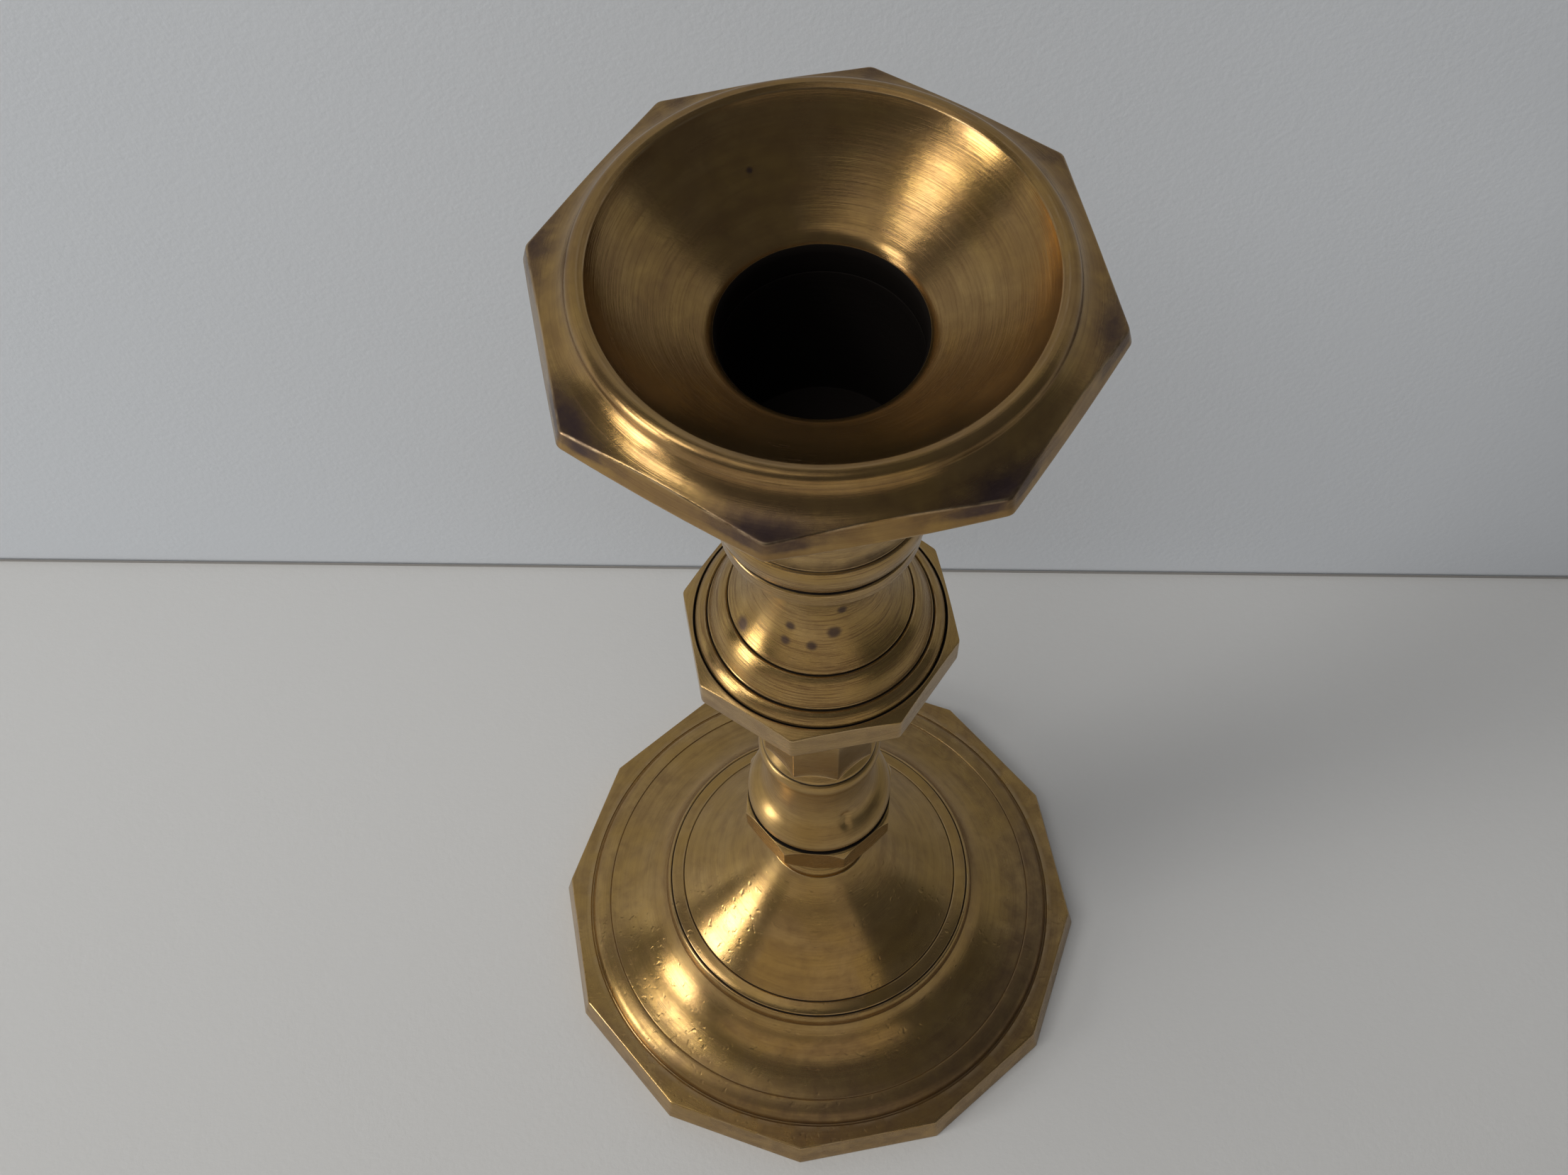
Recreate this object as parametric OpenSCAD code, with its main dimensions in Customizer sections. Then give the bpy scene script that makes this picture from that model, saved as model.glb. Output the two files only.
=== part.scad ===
// Brass table candlestick: a twelve-sided foot, a stem of turned and
// eight-sided pieces stacked on one tie rod, a candle socket and a drip pan.
// Millimetres, +Z up.  The origin is the middle of the foot on the table.
//
// Every brass piece is a turned blank: a half section spun about Z.  The
// many-sided pieces then have their flats cut off the blank, which leaves the
// curved edges where a flat meets a turned cone.

/* [Foot] */
// Size of the foot over its corners, at the table
foot_across = 95; // [92:1:104]
// Height of the straight edge of the foot
foot_edge_h = 5; // [4.6:0.2:5.4]
// Lean of the twelve edge flats, in degrees
foot_lean = 13; // [6:1:16]

/* [Stem] */
// Size of the eight-sided collar over its corners
collar_across = 24.9; // [24.6:0.1:26]
// Size of the eight-sided neck over its corners
neck_across = 17.3; // [16.6:0.1:17.6]
// Size of the eight-sided knop over its corners
knop_across = 38.1; // [37.8:0.1:42]
// Turn of the knop against the foot, in degrees
knop_turn = -7.5; // [-22:0.5:22]

/* [Top] */
// Size of the drip pan over its corners
pan_across = 62.8; // [62.4:0.2:68]
// Turn of the drip pan against the foot, in degrees
pan_turn = -6.2; // [-22:0.2:22]
// Diameter of the candle bore
bore_d = 22.3; // [20:0.1:22.6]
// Depth of the candle bore
bore_depth = 21.5; // [16:0.5:22]

/* [Hidden] */
$fn = 96;

// Heights of the joints between the stacked pieces
z_boss = 30;        // underside of the boss in the foot
z_foot_top = 36.6;  // foot to collar
z_collar_top = 55.3;
z_vase_top = 76;
z_neck_top = 90;
z_knop_top = 112.4; // seat of the trumpet inside the knop
z_trumpet_top = 141.5;
z_cup_shoulder = 166;
z_cup_top = 171.5;
z_pan_edge = 182.8; // upper edge of the drip pan at its corners

// Tie rod and fasteners
rod_r = 3.95;
rod_hole_r = 4.15;  // clearance hole in every stacked piece
thread_r = 3.98;    // tapped hole that the rod screws into
rod_bottom = 19;
rod_top = 148;
washer_r = 8;
washer_t = 1.6;
nut_af = 13;
nut_h = 6.5;

// Registers: a spigot on each piece enters a recess in the next one
spigot_h = 1.6;
recess_h = 1.8;
spigot_gap = 0.06;

// ---- curves ---------------------------------------------------------------

// Points of a cubic curve from a to d, leaving towards b, arriving from c
function curve(a, b, c, d, n = 10) = [
    for (i = [0 : n])
        let (t = i / n, s = 1 - t)
        s * s * s * a + 3 * s * s * t * b + 3 * s * t * t * c + t * t * t * d
];

// A V-shaped groove cut square to the surface, from one lip to the other
function vee(a, b, depth) =
    let (mid = (a + b) / 2, along = b - a, len = norm(along))
    [a, mid + depth * [along[1], -along[0]] / len * -1, b];

// ---- shared shapes --------------------------------------------------------

// Spins a half section about Z
module turned(points) {
    rotate_extrude() polygon(points);
}

// Blocks that cut a ring of equal flats; the flats lean in by `lean` degrees
module flat_cutters(count, corner_r, turn, z0, height, lean = 0) {
    inner_r = corner_r * cos(180 / count);
    for (i = [0 : count - 1])
        rotate([0, 0, turn + (i + 0.5) * 360 / count])
            translate([inner_r, 0, z0])
                rotate([0, -lean, 0])
                    translate([0, -40, -1])
                        cube([30, 80, height + 2]);
}

// Plain round hole along Z
module hole(r, z0, z1) {
    translate([0, 0, z0]) cylinder(r = r, h = z1 - z0);
}

// ---- foot -----------------------------------------------------------------

// Upper surface of the foot, from the blank's edge in to the top of the dome
function foot_upper(blank_r) = concat(
    [[blank_r, foot_edge_h]],
    // incised line on the flange
    vee([42.3, foot_edge_h + 0.18], [42.0, foot_edge_h + 0.22], 0.15),
    // low step up to a narrow flat land
    [[41.9, 5.3], [40.2, 7.65], [40.0, 7.75], [38.45, 7.87]],
    // broad hollow rising to the edge of the ring
    curve([38.1, 8.0], [34.5, 8.9], [30.0, 11.6], [27.85, 15.1], 14),
    [[27.6, 15.5]],
    curve([27.5, 15.65], [27.45, 16.6], [27.2, 17.4], [26.8, 17.7], 5),
    // ring between two incised lines
    vee([26.75, 17.75], [26.35, 18.0], 0.4),
    curve([26.25, 18.05], [25.7, 18.35], [25.0, 18.5], [24.5, 18.6], 5),
    vee([24.4, 18.65], [24.1, 18.85], 0.3),
    // dome, swept up to the seat of the stem
    curve([24.0, 18.95], [20.2, 22.7], [12.6, 28.8], [8.7, 35.9], 16),
    [[8.4, z_foot_top], [0, z_foot_top]]
);

// Hollow underside of the foot, from the table up to the boss
function foot_hollow() = concat(
    [[0, -1], [42.6, -1], [42.6, 1.8]],
    curve([42.0, 2.4], [39.6, 2.5], [37.4, 3.2], [36.6, 4.9], 6),
    curve([35.6, 5.4], [31.6, 7.0], [28.0, 9.4], [25.4, 12.6], 8),
    curve([23.2, 15.4], [19.6, 19.6], [13.4, 24.4], [10.2, 29.2], 10),
    [[9.4, z_boss], [0, z_boss]]
);

module foot() {
    blank_r = foot_across / 2 + 1;
    color("goldenrod")
    difference() {
        turned(concat([[0, 0], [blank_r, 0]], foot_upper(blank_r)));
        turned(foot_hollow());
        flat_cutters(12, foot_across / 2, -90, 0, foot_edge_h + 1, foot_lean);
        hole(rod_hole_r, z_boss - 1, z_foot_top + 1);
    }
}

// ---- stem -----------------------------------------------------------------

// Round spigot on top of a piece
module spigot(r, z) {
    translate([0, 0, z - 0.01]) cylinder(r = r - spigot_gap, h = spigot_h + 0.01);
}

// Collar: small round foot ring, hidden hollow, then eight flats
collar_spigot_r = 6.5;
module collar() {
    color("darkgoldenrod")
    difference() {
        union() {
            turned(concat(
                [[0, z_foot_top], [7.7, z_foot_top]],
                curve([7.9, 36.7], [8.45, 37.2], [8.45, 38.2], [7.8, 38.6], 6),
                curve([7.4, 38.9], [7.0, 44.5], [10.2, 47.6], [11.6, 49.6], 10),
                [[12.8, 50.9], [12.8, 53.4], [12.0, 55.0], [11.7, z_collar_top],
                 [0, z_collar_top]]
            ));
            spigot(collar_spigot_r, z_collar_top);
        }
        flat_cutters(8, collar_across / 2, -90 + 22.5, 40, 20);
        hole(rod_hole_r, z_foot_top - 1, z_collar_top + 3);
    }
}

// Vase: broad shoulder, hollow waist, rounded ring at the top
vase_spigot_r = 6;
module vase() {
    color("goldenrod")
    difference() {
        union() {
            turned(concat(
                [[0, z_collar_top], [10.7, z_collar_top], [10.8, 55.95]],
                curve([11.3, 56.0], [11.8, 57.4], [11.0, 59.2], [9.8, 60.3], 8),
                curve([9.6, 60.5], [8.2, 62.0], [8.0, 66.5], [8.15, 71.6], 10),
                curve([8.6, 71.9], [9.4, 72.6], [9.6, 75.0], [8.9, 75.7], 8),
                [[8.4, 75.8], [8.3, z_vase_top], [0, z_vase_top]]
            ));
            spigot(vase_spigot_r, z_vase_top);
        }
        hole(collar_spigot_r, z_collar_top - 1, z_collar_top + recess_h);
        hole(rod_hole_r, z_collar_top - 1, z_vase_top + 3);
    }
}

// Neck: round at its foot, then eight flats
neck_spigot_r = 6;
module neck() {
    color("darkgoldenrod")
    difference() {
        union() {
            turned([[0, z_vase_top], [8.5, z_vase_top], [8.8, 76.3], [8.75, 78.4],
                    [8.75, 89.4], [8.3, z_neck_top], [0, z_neck_top]]);
            spigot(neck_spigot_r, z_neck_top);
        }
        difference() {
            flat_cutters(8, neck_across / 2, -90 + 22.5, 70, 30);
            turned([[0, 70], [9.6, 70], [9.6, 75.6], [7.3, 79.2], [0, 79.2]]);
        }
        hole(vase_spigot_r, z_vase_top - 1, z_vase_top + recess_h);
        hole(rod_hole_r, z_vase_top - 1, z_neck_top + 3);
    }
}

// Knop: turned bell below, eight-sided plate above with a round seat
knop_seat_r = 16.9;
module knop() {
    plate_bottom = 108.5;
    color("darkgoldenrod")
    difference() {
        turned(concat(
            [[0, z_neck_top], [8.3, z_neck_top]],
            curve([8.9, 90.4], [9.6, 91.2], [9.6, 92.6], [8.9, 93.2], 6),
            curve([8.5, 93.6], [8.4, 99.5], [11.2, 104.2], [15.2, 105.6], 12),
            curve([15.6, 105.8], [16.3, 106.2], [16.4, 107.4], [15.8, plate_bottom], 6),
            [[knop_across / 2 + 1, plate_bottom], [knop_across / 2 + 1, 112.7],
             [knop_seat_r + 0.3, 113.85], [knop_seat_r + 0.2, 113.7],
             [knop_seat_r, 113.4], [knop_seat_r, z_knop_top], [0, z_knop_top]]
        ));
        flat_cutters(8, knop_across / 2, -90 + knop_turn, 107, 10);
        hole(neck_spigot_r, z_neck_top - 1, z_neck_top + recess_h);
        hole(rod_hole_r, z_neck_top - 1, z_knop_top + 1);
    }
}

// Trumpet: ringed cap on the knop, swept up to a plain band
trumpet_spigot_r = 9;
module trumpet() {
    cap_r = knop_seat_r - spigot_gap;
    color("goldenrod")
    difference() {
        union() {
            turned(concat(
                [[0, z_knop_top], [cap_r, z_knop_top], [cap_r, 113.6]],
                curve([16.8, 114.0], [16.6, 114.6], [16.2, 115.1], [15.6, 115.35], 5),
                vee([15.5, 115.4], [15.0, 115.65], 0.45),
                curve([14.9, 115.75], [14.3, 117.6], [13.6, 118.8], [12.7, 119.45], 8),
                vee([12.6, 119.55], [12.15, 119.85], 0.45),
                curve([12.05, 120.0], [8.9, 123.6], [7.8, 128.5], [7.9, 134.2], 14),
                curve([8.0, 135.2], [8.6, 137.0], [10.2, 138.0], [12.3, 138.3], 8),
                [[12.7, 138.7], [12.75, 140.9], [12.35, 141.25],
                 [12.2, z_trumpet_top], [0, z_trumpet_top]]
            ));
            spigot(trumpet_spigot_r, z_trumpet_top);
        }
        hole(rod_hole_r, z_knop_top - 1, z_trumpet_top + 3);
    }
}

// ---- top ------------------------------------------------------------------

// Socket cup: rounded roll at the foot, plain wall, blind candle bore
cup_spigot_r = 12.3;
module socket_cup() {
    color("goldenrod")
    difference() {
        turned(concat(
            [[0, z_trumpet_top], [12.2, z_trumpet_top]],
            curve([12.35, 141.75], [13.5, 142.5], [13.8, 145.0], [13.3, 146.9], 8),
            curve([13.1, 147.4], [12.6, 148.4], [12.7, 152.0], [12.8, 156.0], 8),
            [[13.0, z_cup_shoulder], [cup_spigot_r - spigot_gap, z_cup_shoulder],
             [cup_spigot_r - spigot_gap, z_cup_top], [0, z_cup_top]]
        ));
        hole(bore_d / 2, z_cup_top - bore_depth, z_cup_top + 1);
        hole(trumpet_spigot_r, z_trumpet_top - 1, z_trumpet_top + recess_h);
        hole(thread_r, z_trumpet_top - 1, rod_top + 0.3);
    }
}

// Upper surface of the pan, from the blank's edge in to the throat
function pan_upper(blank_r, throat_r) = concat(
    [[blank_r, z_pan_edge - 0.1]],
    // hollow flange, rising to the lip
    curve([31.6, z_pan_edge], [29.4, 182.85], [27.3, 183.3], [26.1, 185.2], 8),
    // narrow rounded lip with a plain land inside it
    curve([26.05, 185.4], [25.9, 186.3], [25.3, 186.6], [24.6, 186.55], 6),
    [[23.95, 186.25]],
    // funnel down to the candle
    curve([23.8, 186.0], [21.9, 183.0], [17.0, 179.4], [12.9, 176.9], 14),
    curve([12.8, 176.85], [12.0, 176.4], [11.3, 175.8], [throat_r, 174.6], 5)
);

module drip_pan() {
    blank_r = pan_across / 2 + 1;
    throat_r = bore_d / 2;
    color("goldenrod")
    difference() {
        turned(concat(
            pan_upper(blank_r, throat_r),
            [[throat_r, z_cup_top + 0.1], [cup_spigot_r, z_cup_top + 0.1],
             [cup_spigot_r, z_cup_shoulder], [13.2, z_cup_shoulder]],
            curve([13.6, 166.4], [13.9, 172.5], [18.5, 177.6], [28.0, 180.0], 12),
            [[blank_r, 180.6]]
        ));
        flat_cutters(8, pan_across / 2, -90 + pan_turn, 176, 14);
    }
}

// ---- fasteners ------------------------------------------------------------

// Tie rod: screws up into the socket cup and pulls the stack on to the foot
module tie_rod() {
    edge = 0.7;
    color("silver")
    turned([[0, rod_bottom], [rod_r - edge, rod_bottom], [rod_r, rod_bottom + edge],
            [rod_r, rod_top - edge], [rod_r - edge, rod_top], [0, rod_top]]);
}

module washer() {
    color("gainsboro")
    difference() {
        hole(washer_r, z_boss - washer_t, z_boss);
        hole(rod_hole_r, z_boss - washer_t - 1, z_boss + 1);
    }
}

// Hexagon nut with both faces chamfered round
module hex_nut() {
    corner_r = nut_af / 2 / cos(30);
    top = z_boss - washer_t;
    bottom = top - nut_h;
    chamfer_h = 0.6;
    color("gray")
    difference() {
        intersection() {
            translate([0, 0, bottom]) cylinder(r = corner_r, h = nut_h, $fn = 6);
            turned([[0, bottom], [nut_af / 2, bottom],
                    [corner_r + 0.1, bottom + chamfer_h],
                    [corner_r + 0.1, top - chamfer_h], [nut_af / 2, top], [0, top]]);
        }
        hole(thread_r, bottom - 1, top + 1);
    }
}

foot();
collar();
vase();
neck();
knop();
trumpet();
socket_cup();
drip_pan();
tie_rod();
washer();
hex_nut();
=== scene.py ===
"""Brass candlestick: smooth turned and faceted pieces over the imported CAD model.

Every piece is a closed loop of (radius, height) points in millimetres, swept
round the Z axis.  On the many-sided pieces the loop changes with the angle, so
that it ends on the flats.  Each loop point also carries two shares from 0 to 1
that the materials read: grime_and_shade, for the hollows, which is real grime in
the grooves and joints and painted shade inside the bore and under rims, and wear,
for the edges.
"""

import math

import bpy
import numpy as np
from mathutils import Matrix, Vector


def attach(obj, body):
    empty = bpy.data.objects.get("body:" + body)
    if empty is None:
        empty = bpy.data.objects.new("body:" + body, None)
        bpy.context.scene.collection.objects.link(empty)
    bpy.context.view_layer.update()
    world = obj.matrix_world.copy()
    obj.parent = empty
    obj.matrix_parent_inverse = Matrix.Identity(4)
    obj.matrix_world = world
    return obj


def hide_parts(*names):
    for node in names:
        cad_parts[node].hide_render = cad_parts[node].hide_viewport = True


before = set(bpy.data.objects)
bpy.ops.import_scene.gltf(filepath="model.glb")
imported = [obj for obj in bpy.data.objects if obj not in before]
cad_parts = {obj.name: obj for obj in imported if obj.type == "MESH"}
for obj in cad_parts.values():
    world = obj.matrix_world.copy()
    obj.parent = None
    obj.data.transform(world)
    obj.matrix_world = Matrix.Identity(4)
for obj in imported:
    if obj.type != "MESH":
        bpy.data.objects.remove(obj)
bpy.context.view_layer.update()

MM = 0.001
MICRON = 0.000001
TURN = 2 * math.pi
RUN_POINTS = 5  # points along each face of a many-sided piece, out to its flats


# ---- loops of points ------------------------------------------------------

def line(*pairs, grime_and_shade=0.0, wear=0.0):
    """Points given as (radius, height) pairs."""
    return np.array([(r, z, grime_and_shade, wear) for r, z in pairs])


def curve(a, b, c, d, count=18):
    """A cubic curve from a to d, leaving towards b and arriving from c."""
    t = np.linspace(0, 1, count + 1)[:, None]
    s = 1 - t
    a, b, c, d = (np.array(p, float) for p in (a, b, c, d))
    places = s**3 * a + 3 * s**2 * t * b + 3 * s * t**2 * c + t**3 * d
    return np.hstack([places, np.zeros((count + 1, 2))])


def groove(a, b, depth, grime_and_shade=1.0, count=10):
    """A rounded groove cut into the solid between the lips a and b."""
    a, b = np.array(a, float), np.array(b, float)
    t = np.linspace(0, 1, count + 1)
    dip = np.sin(math.pi * t) ** 1.3
    along = (b - a) / np.linalg.norm(b - a)
    inward = np.array([-along[1], along[0]])
    places = a + t[:, None] * (b - a) + depth * dip[:, None] * inward
    lips = 0.7 * (1 - dip) ** 4
    return np.hstack([places, (grime_and_shade * dip)[:, None], lips[:, None]])


def shaded(run, low, high, grime_and_shade):
    """Paints shade between two heights, growing towards `high`, as shade falls under a rim."""
    share = np.clip((run[:, 1] - low) / (high - low), 0, 1)
    run[:, 2] = np.maximum(run[:, 2], grime_and_shade * share)
    return run


def lengths(loop):
    """Distance along a closed loop to each of its points, and the whole length."""
    steps = np.linalg.norm(np.roll(loop, -1, axis=0)[:, :2] - loop[:, :2], axis=1)
    return np.concatenate([[0], np.cumsum(steps)])


def along_loop(loop, ends, place):
    """The point at a distance along a closed loop."""
    place = place % ends[-1]
    closed = np.vstack([loop, loop[:1]])
    return np.array([np.interp(place, ends, closed[:, k]) for k in range(4)])


def without_doubles(loop):
    """Drops points that lie on the one before them."""
    gaps = np.linalg.norm(loop[:, :2] - np.roll(loop, 1, axis=0)[:, :2], axis=1)
    return loop[gaps > 1e-4]


def softened(loop, size=0.16, sharpest=16, steps=5):
    """Rounds the corners of a closed loop.  Outer corners are worn, inner ones hold grime."""
    loop = without_doubles(loop)
    ends = lengths(loop)
    before = loop[:, :2] - np.roll(loop, 1, axis=0)[:, :2]
    after = np.roll(loop, -1, axis=0)[:, :2] - loop[:, :2]
    cross = before[:, 0] * after[:, 1] - before[:, 1] * after[:, 0]
    dot = (before * after).sum(axis=1)
    turn = np.degrees(np.arctan2(cross, dot))
    corners = [i for i in range(len(loop)) if abs(turn[i]) > sharpest]
    if not corners:
        return loop
    kept = np.ones(len(loop), bool)
    added = {}
    for k, i in enumerate(corners):
        here = ends[i]
        back = (here - ends[corners[k - 1]]) % ends[-1] or ends[-1]
        ahead = (ends[corners[(k + 1) % len(corners)]] - here) % ends[-1] or ends[-1]
        reach = min(size, 0.45 * back, 0.45 * ahead)
        offset = (ends[:-1] - here + ends[-1] / 2) % ends[-1] - ends[-1] / 2
        kept &= np.abs(offset) > reach
        start = along_loop(loop, ends, here - reach)
        finish = along_loop(loop, ends, here + reach)
        arc = []
        for t in np.linspace(0, 1, steps):
            point = (1 - t) ** 2 * start + 2 * t * (1 - t) * loop[i] + t**2 * finish
            peak = 4 * t * (1 - t)
            strength = min(1, abs(turn[i]) / 60)
            column = 3 if turn[i] > 0 else 2
            point[column] = max(point[column], peak * strength)
            arc.append(point)
        added[i] = arc
    rounded = []
    for i in range(len(loop)):
        if kept[i]:
            rounded.append(loop[i])
        if i in added:
            rounded.extend(added[i])
    return np.array(rounded)


def filled(loop, longest=1.6):
    """Adds points so that no step of a closed loop is longer than `longest`."""
    out = []
    for here, there in zip(loop, np.roll(loop, -1, axis=0)):
        span = np.linalg.norm(there[:2] - here[:2])
        parts = max(1, math.ceil(span / longest))
        out.extend(here + (there - here) * k / parts for k in range(parts))
    return np.array(out)


# ---- sweeping a loop into a mesh ------------------------------------------

def even_angles(count=224):
    return np.arange(count) * TURN / count


def corner_angles(sides, turn, fine=4.0, fine_step=0.45, coarse_step=1.3):
    """Angles round a many-sided piece, closer together near its corners."""
    half = 180 / sides
    near = np.arange(0, fine, fine_step)
    far_count = max(2, round((half - fine) / coarse_step))
    far = np.linspace(fine, half, far_count + 1)
    one = np.concatenate([near, far])
    offsets = np.concatenate([-one[::-1][:-1], one])[1:]
    turns = turn + np.arange(sides)[:, None] * 360 / sides + offsets[None, :]
    return np.radians(turns.ravel())


def polygon_radius(angle, sides, inner_r, turn, corner):
    """How far out the edge of a regular polygon with rounded corners is at an angle."""
    half = math.pi / sides
    local = abs((angle - math.radians(turn) + half) % (2 * half) - half)
    centre = (inner_r - corner) / math.cos(half)
    touch = math.atan2(corner * math.sin(half), centre + corner * math.cos(half))
    if local < touch:
        reach = corner**2 - (centre * math.sin(local)) ** 2
        return centre * math.cos(local) + math.sqrt(reach)
    return inner_r / math.cos(half - local)


def sweep(name, sections, angles, dents=()):
    """Makes a closed mesh from one loop per angle."""
    rounds, points = sections.shape[:2]
    r, z = sections[..., 0].copy(), sections[..., 1].copy()
    step_r = np.diff(sections[..., 0], axis=1, prepend=sections[:, :1, 0])
    step_z = np.diff(sections[..., 1], axis=1, prepend=sections[:, :1, 1])
    along = np.cumsum(np.hypot(step_r, step_z), axis=1)
    along -= along[:, -1:]
    for angle, height, width, depth in dents:
        turned = (angles - math.radians(angle) + math.pi) % TURN - math.pi
        side = turned[:, None] * r / width
        up = (z - height) / width
        r -= depth * np.exp(-side**2 - up**2)
    x = r * np.cos(angles)[:, None]
    y = r * np.sin(angles)[:, None]
    places = np.stack([x, y, z], axis=-1).reshape(-1, 3) * MM
    j, i = np.meshgrid(np.arange(rounds), np.arange(points), indexing="ij")
    j2, i2 = (j + 1) % rounds, (i + 1) % points
    corners = [j * points + i, j2 * points + i, j2 * points + i2, j * points + i2]
    faces = np.stack(corners, axis=-1).reshape(-1, 4)
    mesh = bpy.data.meshes.new(name)
    mesh.from_pydata(places.tolist(), [], faces.tolist())
    mesh.polygons.foreach_set("use_smooth", [True] * len(faces))
    # grime_and_shade: real grime in grooves and joints, and painted shade inside the bore and under rims
    channels = {"along": along, "grime_and_shade": sections[..., 2], "wear": sections[..., 3]}
    for label, values in channels.items():
        layer = mesh.attributes.new(label, "FLOAT", "POINT")
        layer.data.foreach_set("value", values.ravel().astype(np.float32))
    mesh.update()
    piece = bpy.data.objects.new(name, mesh)
    bpy.context.scene.collection.objects.link(piece)
    return piece


def turned_piece(name, loop, longest=1.6, count=224, edge=0.16, dents=()):
    """A piece that is round all the way: one loop, swept round the axis."""
    loop = filled(softened(loop, edge), longest)
    sections = np.repeat(loop[None], count, axis=0)
    return sweep(name, sections, even_angles(count), dents)


class Flats:
    """The ring of flats cut round a many-sided piece."""

    def __init__(self, sides, across, turn, corner, lean=0.0, base_z=0.0):
        self.sides = sides
        self.inner_r = across / 2 * math.cos(math.pi / sides)
        self.turn = turn
        self.corner = corner
        self.lean = math.tan(math.radians(lean))
        self.base_z = base_z

    def radius(self, angle, z):
        inner_r = self.inner_r - self.lean * (z - self.base_z)
        return polygon_radius(angle, self.sides, inner_r, self.turn, self.corner)

    def meets(self, angle, height_at):
        """Where the flats cut a surface whose height depends on the radius."""
        r = self.inner_r
        for _ in range(12):
            r = self.radius(angle, height_at(r))
        return r, height_at(r)


def bend(corner, before, after, size, steps=5):
    """The rounded edge between two straight runs, worn on its crest."""
    corner, before, after = (np.array(p, float) for p in (corner, before, after))
    back = before - corner
    ahead = after - corner
    start = corner + back / np.linalg.norm(back) * min(size, 0.45 * np.linalg.norm(back))
    finish = corner + ahead / np.linalg.norm(ahead) * min(size, 0.45 * np.linalg.norm(ahead))
    out = []
    for t in np.linspace(0, 1, steps):
        place = (1 - t) ** 2 * start + 2 * t * (1 - t) * corner + t**2 * finish
        out.append((place[0], place[1], 0.0, 4 * t * (1 - t)))
    return np.array(out)


def spread(a, b, count):
    """Even points strictly between a and b."""
    shares = np.arange(1, count + 1) / (count + 1)
    return np.array([(a[0] + (b[0] - a[0]) * t, a[1] + (b[1] - a[1]) * t, 0.0, 0.0) for t in shares])


def grimy_towards(run, inner_r, seam):
    """A run of points that grow grimy towards its inner end, over the width `seam`."""
    if not seam:
        return line(*run)
    return np.array([(r, z, max(0.0, 1.15 - (r - inner_r) / seam), 0.0) for r, z in run])


def faceted_piece(name, flats, inner_loop, under, over, angles, edge=0.3, seam=0.0):
    """A piece with flats: `inner_loop` is what is the same all round, from the inner end of
    the upper surface to the inner end of the underside.  `over` and `under` give the height
    of those two surfaces from the radius, out to the flats.  `seam` is the width of the
    grimy ring next to the inner loop on the upper surface."""
    top_start = inner_loop[0, :2]
    low_end = inner_loop[-1, :2]
    sections = []
    for angle in angles:
        low = flats.meets(angle, under)
        high = flats.meets(angle, over)
        low_run = [(r, under(r)) for r in np.linspace(low_end[0], low[0], RUN_POINTS + 2)]
        high_run = [(r, over(r)) for r in np.linspace(high[0], top_start[0], RUN_POINTS + 2)]
        sections.append(np.vstack([
            line(*low_run[1:-1]),
            bend(low, low_run[-2], high, edge),
            spread(low, high, 3),
            bend(high, low, high_run[1], edge),
            grimy_towards(high_run[1:-1], top_start[0], seam),
            inner_loop,
        ]))
    return sweep(name, np.array(sections), angles)


def height_from(run):
    """A function that gives the height of a run of points from the radius."""
    order = np.argsort(run[:, 0])
    radii, heights = run[order, 0], run[order, 1]
    return lambda r: float(np.interp(r, radii, heights))


def opened(loop, start, end):
    """Returns the part of a closed loop between two of its places."""
    near = [np.argmin(np.hypot(loop[:, 0] - p[0], loop[:, 1] - p[1])) for p in (start, end)]
    rolled = np.roll(loop, -near[0], axis=0)
    count = (near[1] - near[0]) % len(loop) + 1
    return rolled[:count]


# ---- the brass pieces -----------------------------------------------------

ROD_HOLE = 4.15
BORE = 11.15


def make_foot():
    upper_moulding = np.vstack([
        line((49, 4.9), (43.2, 5.15)),
        groove((42.3, 5.2), (42.0, 5.25), 0.14, 0.25),
        curve((41.9, 5.3), (41.8, 6.1), (41.2, 6.95), (40.4, 7.35), 10),
        curve((40.3, 7.4), (39.8, 7.65), (39.3, 7.85), (38.6, 8.0), 8),
        groove((38.45, 8.0), (38.2, 8.02), 0.12, 0.25),
        curve((38.1, 8.05), (34.5, 8.9), (30.0, 11.6), (27.85, 15.1), 30),
        line((27.6, 15.5)),
        curve((27.5, 15.65), (27.45, 16.6), (27.2, 17.4), (26.8, 17.7), 8),
        groove((26.75, 17.75), (26.35, 18.0), 0.34, 0.9),
        curve((26.25, 18.05), (25.7, 18.35), (25.0, 18.5), (24.5, 18.6), 8),
        groove((24.4, 18.65), (24.1, 18.85), 0.26, 0.8),
        curve((24.0, 18.95), (20.2, 22.7), (12.6, 28.8), (8.7, 35.9), 36),
        line((8.4, 36.6), (ROD_HOLE, 36.6)),
    ])
    underside = np.vstack([
        line((ROD_HOLE, 30), (9.4, 30)),
        curve((10.2, 29.2), (13.4, 24.4), (19.6, 19.6), (23.2, 15.4), 16),
        curve((25.4, 12.6), (28.0, 9.4), (31.6, 7.0), (35.6, 5.4), 12),
        curve((36.6, 4.9), (37.4, 3.2), (39.6, 2.5), (42.0, 2.4), 10),
        line((42.6, 1.8), (42.6, 0), (43.2, 0), (49, 0)),
    ])
    loop = filled(softened(np.vstack([upper_moulding, underside])))
    inner = opened(loop, (43.2, 5.15), (43.2, 0))
    flats = Flats(12, 95, -90, 0.5, lean=13)
    angles = corner_angles(12, -90, fine=2.0, fine_step=0.4)
    over = height_from(line((43.2, 5.15), (49, 4.9)))
    return faceted_piece("foot_brass", flats, inner, lambda r: 0.0, over, angles, 0.35)


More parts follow.
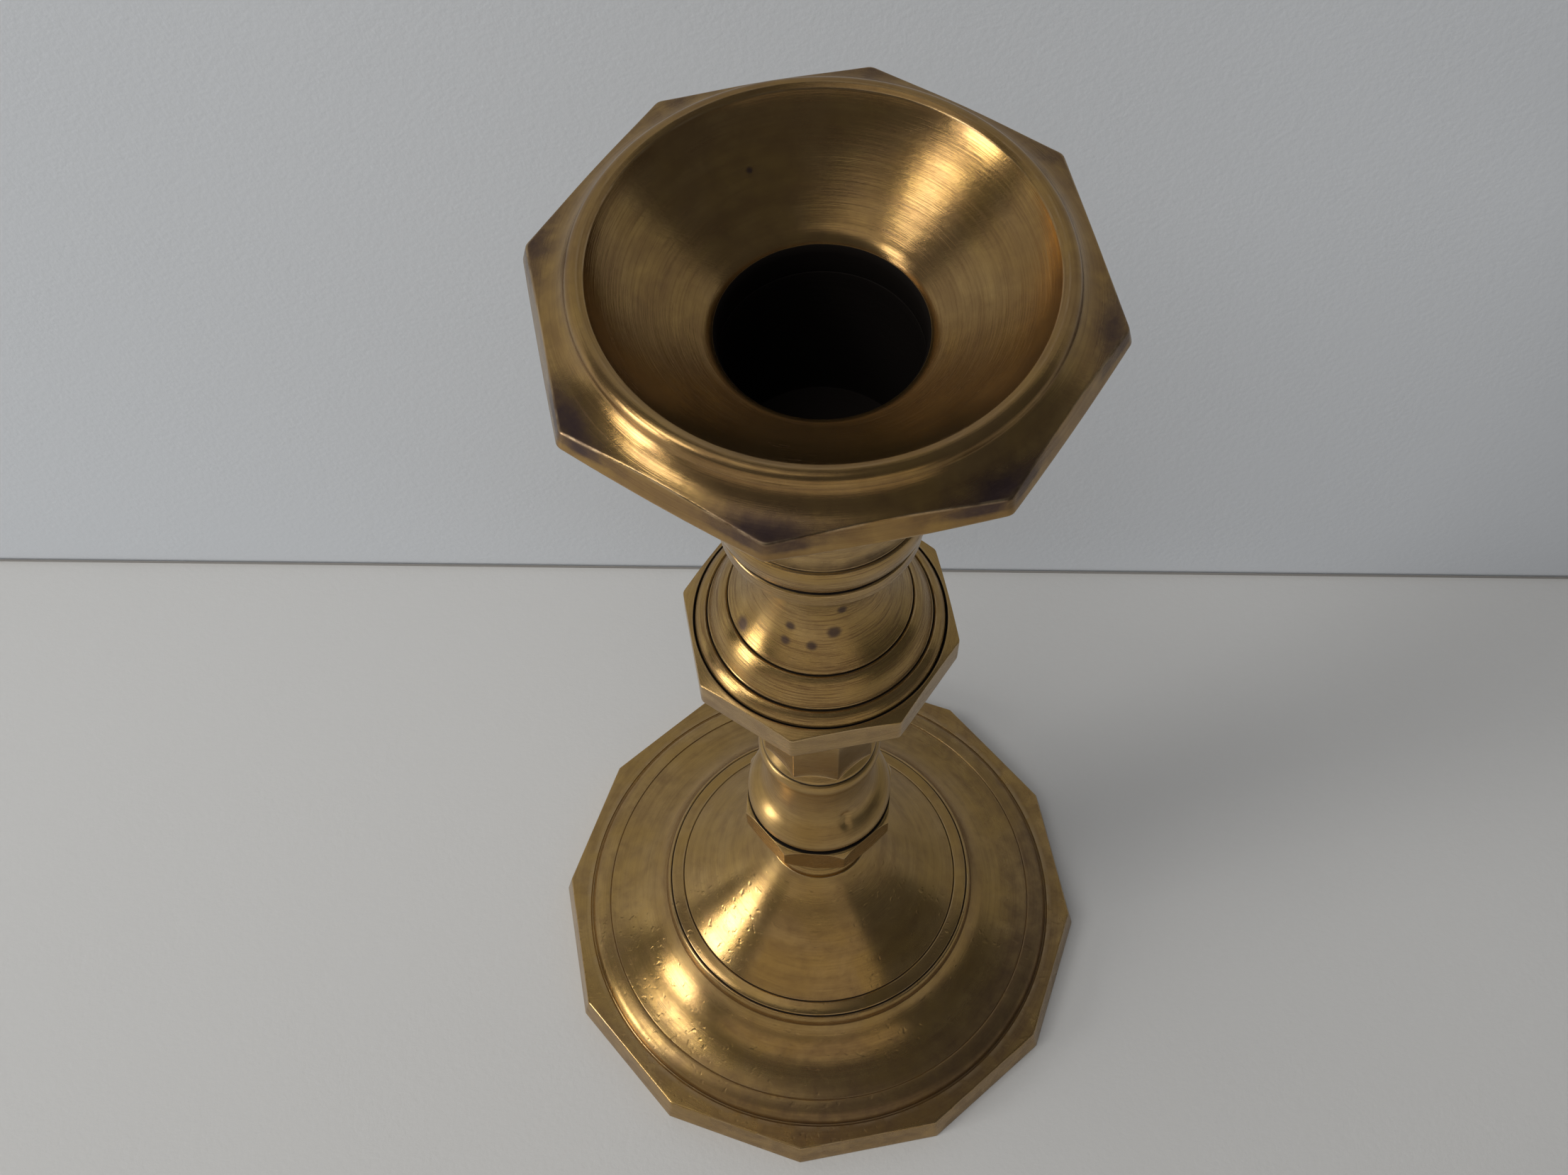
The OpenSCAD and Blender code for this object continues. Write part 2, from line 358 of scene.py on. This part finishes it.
def make_collar():
    underside = np.vstack([
        line((ROD_HOLE, 36.6), (7.7, 36.6)),
        curve((7.9, 36.7), (8.45, 37.2), (8.45, 38.2), (7.8, 38.6), 10),
        curve((7.4, 38.9), (7.0, 44.5), (10.2, 47.6), (11.6, 49.6), 22),
    ])
    top = line((12.8, 53.4), (12.0, 55.0), (11.7, 55.3), (11.3, 55.3))
    seat = line((11.2, 55.3), (10.6, 55.3), (9, 55.3), (ROD_HOLE, 55.3), grime_and_shade=1.0)
    loop = filled(softened(np.vstack([underside, line((12.8, 50.9)), top, seat])))
    inner = opened(loop, (11.2, 55.3), (11.2, 49.0))
    flats = Flats(8, 24.9, -67.5, 0.25)
    under = height_from(np.vstack([underside[-6:], line((12.8, 50.9))]))
    angles = corner_angles(8, -67.5, fine=3.0, fine_step=0.6, coarse_step=1.6)
    return faceted_piece("collar_brass", flats, inner, under, height_from(top), angles, 0.14, 0.55)


def make_vase():
    loop = np.vstack([
        line((ROD_HOLE, 55.3), (10.6, 55.3), (10.6, 55.9), grime_and_shade=1.0),
        line((10.9, 56.1), grime_and_shade=0.8),
        curve((11.3, 56.2), (11.8, 57.4), (11.0, 59.2), (9.8, 60.3), 16),
        curve((9.6, 60.5), (8.2, 62.0), (8.0, 66.5), (8.15, 71.6), 20),
        curve((8.6, 71.9), (9.4, 72.6), (9.6, 75.0), (8.9, 75.7), 16),
        line((8.45, 75.8), (8.3, 76.0), (ROD_HOLE, 76.0), grime_and_shade=1.0),
    ])
    dents = [(-58, 62.0, 0.8, 0.5), (-60, 60.6, 0.6, 0.3)]
    return turned_piece("vase_brass", loop, longest=0.8, edge=0.12, dents=dents)


def make_neck():
    ledge = line((8.75, 76.93), (7.0, 79.67))
    loop = np.vstack([
        line((ROD_HOLE, 76.0), (8.5, 76.0), (8.8, 76.3), grime_and_shade=0.9),
        line((8.75, 76.93), (8.75, 89.4)),
        line((7.6, 90.0), (ROD_HOLE, 90.0)),
    ])
    loop = filled(softened(loop, 0.1))
    inner = opened(loop, (7.6, 90.0), (8.75, 76.93))
    flats = Flats(8, 17.3, -67.5, 0.3)
    angles = corner_angles(8, -67.5, fine=3.0, fine_step=0.75, coarse_step=2.0)
    over = height_from(line((7.6, 90.0), (8.9, 89.2)))
    return faceted_piece("neck_brass", flats, inner, height_from(ledge), over, angles, 0.15)


def make_knop():
    top = line((20.05, 112.7), (17.2, 113.85))
    seat = line((17.05, 113.8), (16.9, 113.6), (16.9, 112.4), grime_and_shade=1.0)
    bell = np.vstack([
        curve((8.9, 90.4), (9.6, 91.2), (9.6, 92.6), (8.9, 93.2), 10),
        curve((8.5, 93.6), (8.4, 99.5), (11.2, 104.2), (15.2, 105.6), 20),
        curve((15.6, 105.8), (16.3, 106.2), (16.4, 107.4), (15.8, 108.5), 10),
    ])
    loop = np.vstack([
        top,
        seat,
        line((ROD_HOLE, 112.4), (ROD_HOLE, 90.0), (8.3, 90.0)),
        bell,
        line((16.3, 108.5), (20.05, 108.5)),
    ])
    loop = filled(softened(loop, 0.15))
    inner = opened(loop, (17.2, 113.85), (16.3, 108.5))
    flats = Flats(8, 38.1, -97.5, 1.0)
    angles = corner_angles(8, -97.5, fine=4.0, fine_step=0.5, coarse_step=1.2)
    return faceted_piece("knop_brass", flats, inner, lambda r: 108.5, height_from(top), angles, 0.3)


def make_trumpet():
    loop = np.vstack([
        line((ROD_HOLE, 112.4), (16.84, 112.4), (16.84, 113.6), grime_and_shade=1.0),
        curve((16.8, 114.0), (16.6, 114.6), (16.2, 115.1), (15.6, 115.35), 8),
        groove((15.45, 115.42), (15.05, 115.63), 0.4, 0.85),
        curve((14.9, 115.75), (14.3, 117.6), (13.6, 118.8), (12.7, 119.45), 16),
        groove((12.55, 119.58), (12.2, 119.82), 0.4, 0.85),
        # painted shade on the neck under the rim, growing towards the rim
        shaded(curve((12.05, 120.0), (8.9, 123.6), (7.8, 128.5), (7.9, 134.2), 30), 125, 132, 0.5),
        curve((8.0, 135.2), (8.6, 137.0), (10.2, 138.0), (12.3, 138.3), 14),
        line((12.7, 138.7), (12.75, 140.9)),
        line((12.35, 141.25), (12.2, 141.5), (ROD_HOLE, 141.5), grime_and_shade=1.0),
    ])
    return turned_piece("trumpet_brass", loop, longest=1.2, edge=0.14)


def make_socket_cup():
    loop = np.vstack([
        line((ROD_HOLE, 141.5), (12.2, 141.5), grime_and_shade=1.0),
        curve((12.35, 141.75), (13.5, 142.5), (13.8, 145.0), (13.3, 146.9), 16),
        groove((13.25, 147.0), (13.05, 147.5), 0.22, 0.6),
        # painted dark reflection in the hollow just above the roll
        shaded(curve((13.0, 147.6), (12.6, 148.6), (12.7, 152.0), (12.8, 156.0), 16), 151, 148, 0.42),
        line((13.0, 166.0), (12.24, 166.0)),
        # painted shade: the bore and its floor are painted black
        line((12.24, 171.5), (BORE, 171.5), (BORE, 170.0), (BORE, 150.0), (ROD_HOLE, 150.0), grime_and_shade=1.0),
    ])
    return turned_piece("socket_cup_brass", loop, longest=1.4, edge=0.14)


def make_drip_pan():
    flange = curve((31.6, 182.75), (29.4, 182.8), (27.3, 183.3), (26.1, 185.2), 22)
    lip = curve((26.05, 185.4), (25.9, 186.3), (25.3, 186.6), (24.6, 186.55), 12)
    funnel = curve((23.8, 186.0), (21.9, 183.0), (17.0, 179.4), (12.9, 176.9), 36)
    mouth = curve((12.8, 176.85), (12.0, 176.4), (11.3, 175.8), (BORE, 174.6), 12)
    mouth[8:, 2] = 0.8  # painted shade inside the bore starts just below the rounded edge
    underside = curve((13.6, 166.4), (13.9, 172.5), (18.5, 177.6), (28.0, 180.0), 30)
    loop = np.vstack([
        line((32.5, 182.7)),
        flange,
        lip,
        line((23.95, 186.25)),
        funnel,
        mouth,
        # painted shade: the bore below the mouth is painted black
        line((BORE, 173), (BORE, 171.6), (12.3, 171.6), (12.3, 166.0), grime_and_shade=1.0),
        line((13.2, 166.0)),
        underside,
        line((32.5, 180.6)),
    ])
    loop = filled(softened(loop, 0.15))
    inner = opened(loop, (26.6, 184.1), (28.0, 180.0))
    flats = Flats(8, 62.8, -96.2, 1.2, lean=14, base_z=182)
    under = height_from(line((28.0, 180.0), (32.5, 180.6)))
    angles = corner_angles(8, -96.2, fine=4.0, fine_step=0.5, coarse_step=0.9)
    return faceted_piece("drip_pan_brass", flats, inner, under, height_from(flange), angles, 0.3)


# ---- the fasteners under the foot -----------------------------------------

def make_washer():
    loop = line((ROD_HOLE, 28.4), (8.0, 28.4), (8.0, 30.0), (ROD_HOLE, 30.0))
    return turned_piece("washer_steel", loop, count=96, edge=0.2)


def make_hex_nut():
    thread = line((3.98, 28.4), (3.98, 21.9))
    top = line((6.6, 28.4), (7.6, 27.85))
    bottom = line((6.6, 21.9), (7.6, 22.45))
    loop = np.vstack([bottom, top[::-1], line((5, 28.4)), thread, line((5, 21.9))])
    loop = filled(softened(loop, 0.15))
    inner = opened(loop, (5, 28.4), (5, 21.9))
    flats = Flats(6, 15.01, 0, 0.2)
    over = height_from(np.vstack([line((5, 28.4)), top]))
    under = height_from(np.vstack([line((5, 21.9)), bottom]))
    angles = corner_angles(6, 0, fine=3.0, fine_step=1.0, coarse_step=2.5)
    return faceted_piece("nut_steel", flats, inner, under, over, angles, 0.15)


def make_tie_rod():
    """The rod, with a real helical thread where it shows."""
    pitch = 1.25
    depth = 0.65
    count = 96
    angles = even_angles(count)
    shown = np.arange(19.0, 30.5, pitch / 12)
    sections = []
    for angle in angles:
        share = (shown / pitch - angle / TURN) % 1
        ridge = np.clip(2.2 * np.abs(share - 0.5) - 0.05, 0, 1)
        radius = 3.95 - depth * ridge
        radius = np.minimum(radius, 3.1 + (shown - 19.0) * 1.0)
        thread = np.stack([radius, shown, 0.4 * ridge, 0.4 * (1 - ridge)], axis=1)
        ends = line((3.95, 31.0), (3.95, 60.0), (3.95, 148.0), (0.05, 148.0), (0.05, 19.0), (2, 19.0))
        sections.append(np.vstack([thread, ends]))
    return sweep("tie_rod_steel", np.array(sections), angles)


# ---- materials ------------------------------------------------------------

class Look:
    """A small helper to build one material's node tree."""

    def __init__(self, name):
        self.material = bpy.data.materials.new(name)
        self.material.use_nodes = True
        self.tree = self.material.node_tree
        self.tree.nodes.clear()
        self.place = self.node("ShaderNodeTexCoord").outputs["Object"]

    def node(self, kind, **settings):
        made = self.tree.nodes.new(kind)
        for key, value in settings.items():
            setattr(made, key, value)
        return made

    def feed(self, socket, value):
        if isinstance(value, bpy.types.NodeSocket):
            self.tree.links.new(value, socket)
        else:
            socket.default_value = value

    def maths(self, operation, a, b=0.0, c=0.0, clamp=False):
        made = self.node("ShaderNodeMath", operation=operation, use_clamp=clamp)
        for socket, value in zip(made.inputs, (a, b, c)):
            self.feed(socket, value)
        return made.outputs[0]

    def vector(self, operation, a, b=(0, 0, 0)):
        made = self.node("ShaderNodeVectorMath", operation=operation)
        self.feed(made.inputs[0], a)
        self.feed(made.inputs[1], b)
        return made.outputs[0]

    def share(self, value, low, high):
        """0 where the value is at `low`, 1 at `high`, smooth between."""
        made = self.node("ShaderNodeMapRange", interpolation_type="SMOOTHSTEP")
        for label, number in (("Value", value), ("From Min", low), ("From Max", high)):
            self.feed(made.inputs[label], number)
        return made.outputs["Result"]

    def noise(self, vector, scale, detail=3.0, rough=0.55, distortion=0.0):
        made = self.node("ShaderNodeTexNoise")
        self.feed(made.inputs["Vector"], vector)
        for label, number in (("Scale", scale), ("Detail", detail), ("Roughness", rough)):
            self.feed(made.inputs[label], number)
        self.feed(made.inputs["Distortion"], distortion)
        return made.outputs["Fac"]

    def painted(self, below, above, cover):
        """One colour laid over another."""
        made = self.node("ShaderNodeMix", data_type="RGBA")
        self.feed(made.inputs["Factor"], cover)
        self.feed(made.inputs[6], below)
        self.feed(made.inputs[7], above)
        return made.outputs[2]

    def channel(self, name):
        return self.node("ShaderNodeAttribute", attribute_name=name).outputs["Fac"]

    def bump(self, height, depth, under=None):
        made = self.node("ShaderNodeBump")
        made.inputs["Strength"].default_value = 1.0
        made.inputs["Distance"].default_value = depth
        self.feed(made.inputs["Height"], height)
        if under is not None:
            self.feed(made.inputs["Normal"], under)
        return made.outputs["Normal"]

    def surface(self, skin, roughness, metallic, normal, anisotropy=0.0, gloss=0.5):
        """The shader of the whole surface; `anisotropy` draws highlights out across the turning."""
        shader = self.node("ShaderNodeBsdfPrincipled")
        self.feed(shader.inputs["Base Color"], skin)
        self.feed(shader.inputs["Roughness"], roughness)
        self.feed(shader.inputs["Metallic"], metallic)
        self.feed(shader.inputs["Normal"], normal)
        self.feed(shader.inputs["Specular IOR Level"], gloss)
        shader.inputs["Anisotropic"].default_value = anisotropy
        if anisotropy:
            tangent = self.node("ShaderNodeTangent", direction_type="RADIAL", axis="Z")
            self.feed(shader.inputs["Tangent"], tangent.outputs[0])
            shader.inputs["Anisotropic Rotation"].default_value = 0.25
        output = self.node("ShaderNodeOutputMaterial")
        self.feed(output.inputs["Surface"], shader.outputs[0])
        return self.material


def colour(red, green, blue):
    return (red, green, blue, 1.0)


GOLD = colour(0.42, 0.265, 0.088)
PALE = colour(0.50, 0.33, 0.13)
BROWN = colour(0.20, 0.11, 0.048)
VIOLET = colour(0.055, 0.037, 0.045)
BLACK = colour(0.010, 0.008, 0.007)
WORN = colour(0.70, 0.52, 0.30)
DARK_STEEL = colour(0.42, 0.41, 0.38)
PALE_STEEL = colour(0.55, 0.54, 0.50)
BRIGHT_STEEL = colour(0.72, 0.71, 0.68)
RUST = colour(0.16, 0.10, 0.06)
GREASE = colour(0.05, 0.04, 0.03)


def brass(name, film=0.45, lathe=0.5, polish=0.2, spots=(), tarnish=0.0, cast=0.0, grain=0.3):
    """Old brass: polished by hand, with a brown film, dark hollows and bright edges.

    film     how much of the surface the brown film covers
    lathe    how strong the turning marks are
    polish   roughness of the cleanest metal
    spots    places of dark tarnish spots: (x, y, z, radius) in millimetres
    tarnish  how strong the violet blotches are where the "stain" channel allows them
    cast     depth of the small casting pits, in microns
    grain    how far the highlights are drawn out across the turning marks
    """
    look = Look(name)
    place = look.vector("MULTIPLY", look.place, (1000, 1000, 1000))
    flat = look.vector("MULTIPLY", place, (1, 1, 0))
    around = look.vector("NORMALIZE", flat)
    along = look.channel("along")
    lift = look.node("ShaderNodeCombineXYZ")
    look.feed(lift.inputs["Z"], along)
    marks_place = look.vector("ADD", look.vector("MULTIPLY", around, (1.6, 1.6, 0)), lift.outputs[0])
    # turning marks run round the piece, so they change quickly only along its outline
    fine = look.noise(look.vector("MULTIPLY", marks_place, (1, 1, 4.5)), 1.0, 4.0, 0.75)
    wide = look.noise(look.vector("MULTIPLY", marks_place, (0.8, 0.8, 1.3)), 1.0, 2.0, 0.5)
    marks = look.maths("MULTIPLY_ADD", wide, 0.8, fine)
    bands = look.noise(look.vector("MULTIPLY", marks_place, (0.7, 0.7, 0.55)), 1.0, 3.0)
    # blotches of three sizes
    clouds = look.noise(place, 0.085, 4.0, 0.55, 0.6)
    patches = look.noise(place, 0.32, 5.0, 0.62, 0.3)
    specks = look.noise(place, 2.6, 2.0, 0.6)
    grime_and_shade = look.channel("grime_and_shade")
    wear = look.channel("wear")

    # brown film over gold
    film_sum = look.maths("MULTIPLY_ADD", patches, 0.5, look.maths("MULTIPLY", clouds, 0.5))
    film_sum = look.maths("MULTIPLY_ADD", bands, 0.35, look.maths("MULTIPLY", film_sum, 0.8))
    film_cover = look.share(film_sum, 0.62 - 0.3 * film, 1.00 - 0.3 * film)
    fleck = look.share(specks, 0.66, 0.78)
    tint = look.share(clouds, 0.35, 0.68)
    skin = look.painted(GOLD, PALE, tint)
    skin = look.painted(skin, BROWN, look.maths("MULTIPLY", film_cover, 0.65))
    skin = look.painted(skin, BROWN, look.maths("MULTIPLY", fleck, 0.35))
    streak = look.share(fine, 0.46, 0.64)
    skin = look.painted(skin, BROWN, look.maths("MULTIPLY", streak, 0.45 * lathe))
    dull = look.maths("MULTIPLY", film_cover, 0.2)

    # violet blotches and round dark spots
    if tarnish:
        stain = look.channel("stain")
        ragged = look.maths("MULTIPLY_ADD", patches, 0.9, look.maths("SUBTRACT", stain, 0.55))
        stain_cover = look.share(ragged, -0.1, 0.95)
        skin = look.painted(skin, VIOLET, look.maths("MULTIPLY", stain_cover, tarnish))
        dull = look.maths("MAXIMUM", dull, look.maths("MULTIPLY", stain_cover, 0.8))
    for x, y, z, radius in spots:
        away = look.node("ShaderNodeVectorMath", operation="DISTANCE")
        look.feed(away.inputs[0], place)
        away.inputs[1].default_value = (x, y, z)
        ragged = look.maths("MULTIPLY_ADD", patches, 0.9 * radius, away.outputs["Value"])
        inside = look.share(ragged, 1.55 * radius, 0.75 * radius)
        skin = look.painted(skin, VIOLET, look.maths("MULTIPLY", inside, 0.8))
        dull = look.maths("MAXIMUM", dull, look.maths("MULTIPLY", inside, 0.8))

    # bright worn edges, then black over everything: grime in the hollows, and painted shade in the bore and
    # under rims
    worn = look.maths("MULTIPLY", wear, look.share(patches, 0.36, 0.62))
    skin = look.painted(skin, WORN, look.maths("MULTIPLY", worn, 0.5))
    dirt_and_shade = look.share(look.maths("MULTIPLY_ADD", patches, 0.4, grime_and_shade), 0.35, 0.95)
    skin = look.painted(skin, BLACK, dirt_and_shade)

    roughness = look.maths("MULTIPLY_ADD", dull, 0.26, polish)
    roughness = look.maths("MULTIPLY_ADD", streak, 0.10 * lathe, roughness)
    roughness = look.maths("MULTIPLY_ADD", dirt_and_shade, 0.45, roughness, clamp=True)
    metallic = look.maths("MULTIPLY_ADD", dirt_and_shade, -0.85, 0.93)
    gloss = look.maths("MULTIPLY_ADD", dirt_and_shade, -0.42, 0.5)

    # hand-polished waves, dimples, turning marks and scratches
    waves = look.noise(place, 0.11, 1.0, 0.4)
    dimples = look.noise(place, 0.55, 2.0, 0.5)
    scratch_place = look.vector("MULTIPLY", place, (0.5, 4.0, 1.4))
    scratches = look.noise(scratch_place, 1.0, 4.0, 0.8, 1.2)
    normal = look.bump(waves, 60 * MICRON)
    normal = look.bump(dimples, 12 * MICRON, normal)
    normal = look.bump(marks, 22 * MICRON * lathe, normal)
    normal = look.bump(scratches, 5 * MICRON, normal)
    if cast:
        pits = look.share(look.noise(place, 0.9, 1.0, 0.4), 0.60, 0.78)
        normal = look.bump(look.maths("SUBTRACT", 1.0, pits), cast * MICRON, normal)
    return look.surface(skin, roughness, metallic, normal, grain, gloss)


def steel(name):
    """Dull plated steel with specks of rust, and grease in the hollows."""
    look = Look(name)
    place = look.vector("MULTIPLY", look.place, (1000, 1000, 1000))
    patches = look.noise(place, 0.5, 4.0)
    specks = look.noise(place, 3.0, 3.0, 0.7)
    grime_and_shade = look.channel("grime_and_shade")
    wear = look.channel("wear")
    skin = look.painted(DARK_STEEL, PALE_STEEL, look.share(patches, 0.35, 0.7))
    rusty = look.maths("MULTIPLY", look.share(specks, 0.55, 0.72), 0.7)
    skin = look.painted(skin, RUST, rusty)
    skin = look.painted(skin, BRIGHT_STEEL, look.maths("MULTIPLY", wear, 0.6))
    dirt_and_shade = look.share(look.maths("MULTIPLY_ADD", patches, 0.4, grime_and_shade), 0.4, 1.0)
    skin = look.painted(skin, GREASE, look.maths("MULTIPLY", dirt_and_shade, 0.8))
    roughness = look.maths("MULTIPLY_ADD", specks, 0.25, 0.26)
    metallic = look.maths("SUBTRACT", 1.0, look.maths("MULTIPLY", dirt_and_shade, 0.6))
    normal = look.bump(patches, 30 * MICRON)
    normal = look.bump(specks, 10 * MICRON, normal)
    return look.surface(skin, roughness, metallic, normal)


# ---- putting the pieces in place ------------------------------------------

def stain_corners(piece, turn, strengths):
    """Marks the tarnish inside each corner of the drip pan."""
    mesh = piece.data
    places = np.array([v.co[:] for v in mesh.vertices]) / MM
    radius = np.hypot(places[:, 0], places[:, 1])
    angle = np.degrees(np.arctan2(places[:, 1], places[:, 0]))
    stain = np.zeros(len(places))
    upper = places[:, 2] > 181.3
    for k, strength in enumerate(strengths):
        away = (angle - turn - 45 * k + 180) % 360 - 180
        sideways = away / 12.5
        outward = (radius - 29.8) / 2.1
        stain = np.maximum(stain, strength * np.exp(-sideways**2 - outward**2))
    layer = mesh.attributes.new("stain", "FLOAT", "POINT")
    layer.data.foreach_set("value", (stain * upper).astype(np.float32))


def tarnish_and_shade_border(piece, radius, width, strength):
    """Marks the tarnish round the border of the foot, with painted shade that makes it strongest in front
    and on the right.
    """
    mesh = piece.data
    places = np.array([v.co[:] for v in mesh.vertices]) / MM
    outward = (np.hypot(places[:, 0], places[:, 1]) - radius) / width
    angle = np.arctan2(places[:, 1], places[:, 0])
    # painted shade: the band is darker in front and on the right
    share = 0.55 + 0.45 * np.cos(angle - math.radians(-40))
    layer = mesh.attributes.new("stain", "FLOAT", "POINT")
    layer.data.foreach_set("value", (strength * share * np.exp(-outward**2)).astype(np.float32))


def fit_out(piece, node, material):
    piece.data.materials.append(material)
    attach(piece, "root")
    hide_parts(node)


# places and sizes of the round tarnish spots: x, y, z, radius
FUNNEL_SPOTS = (
    (-8.9, 16.6, 181.0, 0.50),
    (-10.8, 22.2, 186.0, 0.35),
)
TRUMPET_SPOTS = (
    (-9.6, -6.0, 120.8, 1.2),
    (-3.3, -8.4, 125.5, 0.85),
    (-3.9, -9.2, 123.1, 0.95),
    (-0.4, -9.9, 123.2, 0.95),
    (2.3, -8.8, 125.2, 1.15),
    (3.2, -7.5, 128.9, 0.8),
)

foot = make_foot()
tarnish_and_shade_border(foot, 40, 6.5, 0.95)
fit_out(foot, "foot", brass("foot_brass", 0.65, 0.4, 0.19, tarnish=0.45, cast=18))
fit_out(make_collar(), "collar", brass("collar_brass", film=0.45, lathe=0.3, polish=0.24))
fit_out(make_vase(), "vase", brass("vase_brass", film=0.45, lathe=0.7, polish=0.31))
fit_out(make_neck(), "neck", brass("neck_brass", film=0.5, lathe=0.2, polish=0.17))
fit_out(make_knop(), "knop", brass("knop_brass", film=0.6, lathe=0.4, polish=0.24))
fit_out(make_trumpet(), "trumpet", brass("trumpet_brass", 0.5, 1.6, 0.17, TRUMPET_SPOTS))
fit_out(make_socket_cup(), "socket_cup", brass("socket_cup_brass", film=0.45, lathe=1.4, polish=0.15))
drip_pan = make_drip_pan()
stain_corners(drip_pan, -96.2, (1, 1, 0.85, 0.5, 0.5, 0.5, 0.7, 1))
fit_out(drip_pan, "drip_pan", brass("drip_pan_brass", 1.0, 0.75, 0.15, FUNNEL_SPOTS, tarnish=0.9, grain=0.1))
fit_out(make_tie_rod(), "tie_rod", steel("tie_rod_steel"))
fit_out(make_washer(), "washer", steel("washer_steel"))
fit_out(make_hex_nut(), "hex_nut", steel("hex_nut_steel"))


# ---- table, wall, light and camera ----------------------------------------

STEM_MIDDLE = (0, 0, 0.1)
FOOT_MIDDLE = (0, 0, 0.03)
DAYLIGHT = (1.0, 0.98, 0.93)
LAMPLIGHT = (1.0, 0.9, 0.8)


def plain_paint(name, tone, roughness):
    look = Look(name)
    grain = look.noise(look.place, 900.0, 3.0)
    drift = look.noise(look.place, 6.0, 2.0)
    light = colour(*(min(1.0, part * 1.03) for part in tone))
    skin = look.painted(colour(*tone), light, drift)
    return look.surface(skin, roughness, 0.0, look.bump(grain, 50 * MICRON))


def stage_sheet(name, corners, material):
    mesh = bpy.data.meshes.new(name)
    mesh.from_pydata(corners, [], [(0, 1, 2, 3)])
    mesh.materials.append(material)
    sheet = bpy.data.objects.new(name, mesh)
    bpy.context.scene.collection.objects.link(sheet)


def softbox(name, place, target, size, power, tint, mirrored=True):
    lamp = bpy.data.lights.new(name, "AREA")
    lamp.shape = "RECTANGLE"
    lamp.size, lamp.size_y = size
    lamp.energy = power
    lamp.color = tint
    holder = bpy.data.objects.new(name, lamp)
    holder.location = place
    aim = Vector(target) - Vector(place)
    holder.rotation_euler = aim.to_track_quat("-Z", "Y").to_euler()
    holder.visible_glossy = mirrored
    bpy.context.scene.collection.objects.link(holder)


def towards(azimuth, elevation, distance):
    """A place in a given direction and at a given distance from the middle of the stem."""
    a, e = math.radians(azimuth), math.radians(elevation)
    flat = distance * math.cos(e)
    return (flat * math.cos(a), flat * math.sin(a), STEM_MIDDLE[2] + distance * math.sin(e))


WALL_Y = 0.0733
WALL_SKEW = 0.056
WALL_TOP = 0.36
left_end = (-2, WALL_Y - 2 * WALL_SKEW)
right_end = (2, WALL_Y + 2 * WALL_SKEW)
stage_sheet(
    "table", [(-2, -2, 0), (2, -2, 0), (*right_end, 0), (*left_end, 0)],
    plain_paint("table_paint", (0.60, 0.60, 0.60), 0.45),
)
stage_sheet(
    "wall", [(*left_end, 0), (*right_end, 0), (*right_end, WALL_TOP), (*left_end, WALL_TOP)],
    plain_paint("wall_paint", (0.70, 0.74, 0.795), 0.8),
)
# painted shade: a thin dark strip in the crease where the wall meets the table
CREASE_SHADE_Y = WALL_Y - 0.0003
CREASE_SHADE_TOP = 0.0009
crease_shade_left = (-2, CREASE_SHADE_Y - 2 * WALL_SKEW)
crease_shade_right = (2, CREASE_SHADE_Y + 2 * WALL_SKEW)
stage_sheet(
    "wall_crease_shade", [(*crease_shade_left, 0), (*crease_shade_right, 0), (*crease_shade_right, CREASE_SHADE_TOP), (*crease_shade_left, CREASE_SHADE_TOP)],
    plain_paint("crease_shade_paint", (0.32, 0.31, 0.30), 0.8),
)
softbox("window_low", towards(-156, 13, 1.5), STEM_MIDDLE, (0.38, 0.62), 7.3, DAYLIGHT)
softbox("window_high", towards(-156, 46, 1.5), STEM_MIDDLE, (0.36, 0.5), 3.2, DAYLIGHT)
softbox("sky", towards(-150, 74, 1.5), STEM_MIDDLE, (0.9, 0.7), 1.1, DAYLIGHT)
softbox("fill", towards(-140, 68, 1.5), STEM_MIDDLE, (1.0, 1.0), 7.4, DAYLIGHT, mirrored=False)
softbox("front_low", (0, -0.45, 0.03), FOOT_MIDDLE, (0.7, 0.06), 0.05, LAMPLIGHT)
softbox("front_high", (0, -0.45, 0.22), FOOT_MIDDLE, (0.80, 0.20), 0.20, LAMPLIGHT)

world = bpy.data.worlds.new("room")
world.use_nodes = True
world.node_tree.nodes["Background"].inputs["Color"].default_value = (0.75, 0.78, 0.85, 1)
world.node_tree.nodes["Background"].inputs["Strength"].default_value = 0.10
bpy.context.scene.world = world


def add_camera():
    """The camera looks down on the candlestick from in front and high above."""
    azimuth, elevation, roll = math.radians(5.85), math.radians(60.34), math.radians(-1.64)
    back = Vector((
        math.sin(azimuth) * math.cos(elevation),
        -math.cos(azimuth) * math.cos(elevation),
        math.sin(elevation),
    ))
    right = Vector((0, 0, 1)).cross(back).normalized()
    up = back.cross(right)
    level_right, level_up = right, up
    right = math.cos(roll) * level_right + math.sin(roll) * level_up
    up = -math.sin(roll) * level_right + math.cos(roll) * level_up
    turned = Matrix((right, up, back)).transposed().to_4x4()
    data = bpy.data.cameras.new("camera")
    data.sensor_width = 36
    data.lens = 42.0
    data.clip_start = 0.01
    camera = bpy.data.objects.new("camera", data)
    camera.matrix_world = Matrix.Translation((0.00733, -0.11824, 0.32907)) @ turned
    bpy.context.scene.collection.objects.link(camera)
    bpy.context.scene.camera = camera


add_camera()
bpy.context.scene.view_settings.view_transform = "Standard"
